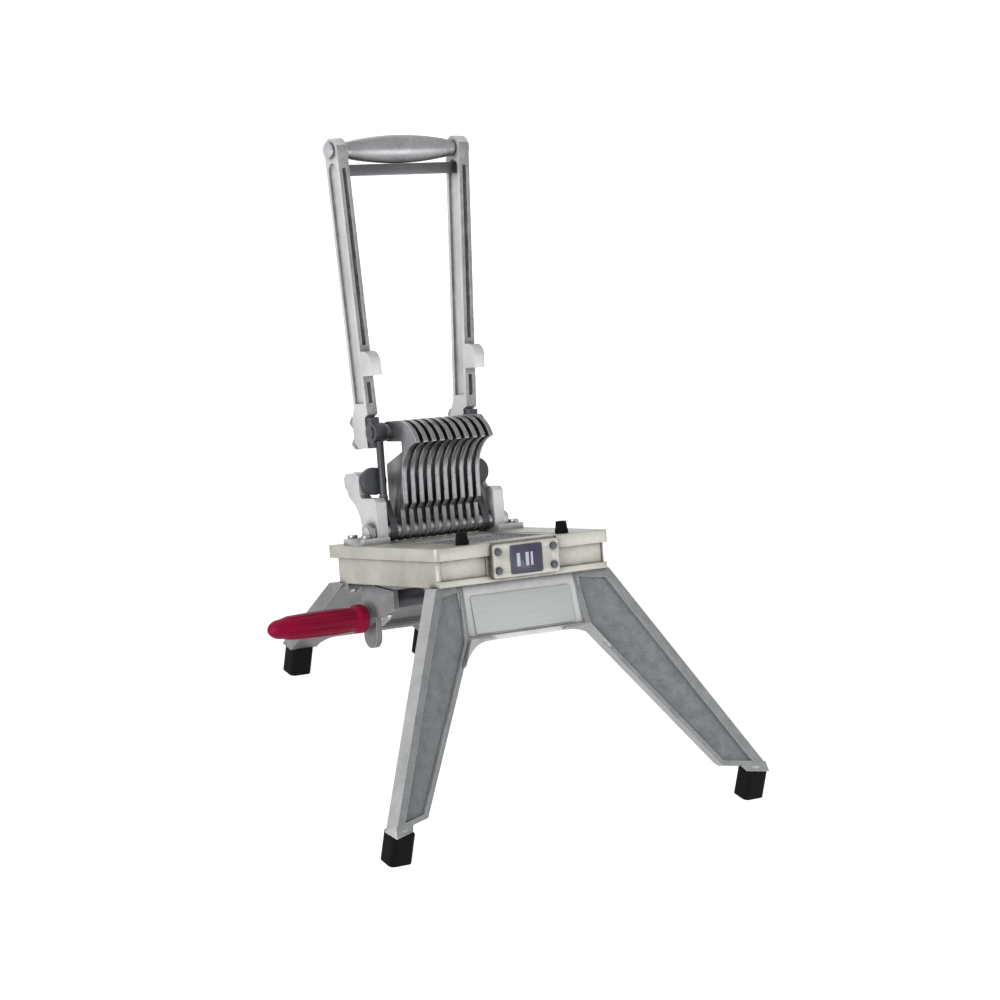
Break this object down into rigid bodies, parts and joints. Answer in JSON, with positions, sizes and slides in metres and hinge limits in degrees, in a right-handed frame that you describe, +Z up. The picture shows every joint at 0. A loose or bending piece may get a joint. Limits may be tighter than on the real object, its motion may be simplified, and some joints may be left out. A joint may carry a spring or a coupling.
{
  "type": "lever onion cutter",
  "caption": "Free-standing cast metal onion cutter: a two-armed lever swings a comb of fins down between the blades of a tilted deck on slanted legs, with a grip at the side.",
  "frame": {"origin": "bottom centre of the bounding box, on the table under the four feet", "axes": "+Z up, the longest way; +Y to the rear, where the lever stands; X across, parallel to the pivot"},
  "size_m": [0.4328, 0.4675, 0.5482],
  "materials": {
    "foot_rubber": "matt moulded rubber",
    "bumper_rubber": "matt moulded rubber",
    "stop_rubber": "matt moulded rubber",
    "blade_steel": "ground stainless strip",
    "fin_cast": "tumbled casting",
    "red_plastic": "soft gloss",
    "blue_plate": "satin",
    "bare_plate": "satin sheet",
    "shaft_steel": "turned",
    "bolt_steel": "plated",
    "polished_cast": "polished casting",
    "dark_steel": "black oxide",
    "cartridge_cast": "machined casting",
    "deck_cast": "ground and satin casting",
    "frame_cast": "sand casting, satin"
  },
  "bodies": {
    "base": {"deck_frame": "deck_cast", "front_leg_frame": "frame_cast", "rear_leg_frame": "frame_cast", "name_plate": "bare_plate", "foot_front_left": "foot_rubber", "foot_front_right": "foot_rubber", "foot_rear_left": "foot_rubber", "foot_rear_right": "foot_rubber", "post_left": "frame_cast", "post_right": "frame_cast", "pivot_shaft": "shaft_steel", "pivot_nuts": "bolt_steel", "cartridge_front_rail": "cartridge_cast", "cartridge_rear_rail": "cartridge_cast", "cartridge_side_left": "cartridge_cast", "cartridge_side_right": "cartridge_cast", "blade_rods": "shaft_steel", "front_block": "deck_cast", "index_plate": "blue_plate", "deck_bumper_left": "bumper_rubber", "deck_bumper_right": "bumper_rubber", "stop_bumper_left": "stop_rubber", "stop_bumper_right": "stop_rubber", "stop_bolts": "bolt_steel", "side_bracket": "frame_cast", "side_grip": "red_plastic", "grip_stud": "shaft_steel", "grip_nuts": "bolt_steel", "clamp_bar": "dark_steel", "frame_screws": "bolt_steel", "blade_01": "blade_steel", "blade_02": "blade_steel", "blade_03": "blade_steel", "blade_04": "blade_steel", "blade_05": "blade_steel", "blade_06": "blade_steel", "blade_07": "blade_steel", "blade_08": "blade_steel", "blade_09": "blade_steel", "blade_10": "blade_steel", "blade_11": "blade_steel"},
    "lever": {"arm_left": "frame_cast", "arm_right": "frame_cast", "cross_grip": "polished_cast", "grip_rod": "shaft_steel", "side_bar_left": "dark_steel", "side_bar_right": "dark_steel", "top_shaft": "shaft_steel", "fin_spacers": "bolt_steel", "arm_bolts": "bolt_steel", "fin_01": "fin_cast", "fin_02": "fin_cast", "fin_03": "fin_cast", "fin_04": "fin_cast", "fin_05": "fin_cast", "fin_06": "fin_cast", "fin_07": "fin_cast", "fin_08": "fin_cast", "fin_09": "fin_cast", "fin_10": "fin_cast"}
  },
  "joints": [
    {"name": "lever_swing", "type": "hinge", "parent": "base", "child": "lever", "pos_m": [0, 0.07012, 0.19056], "axis": [1, 0, 0], "range_deg": [0, 93.5]}
  ]
}
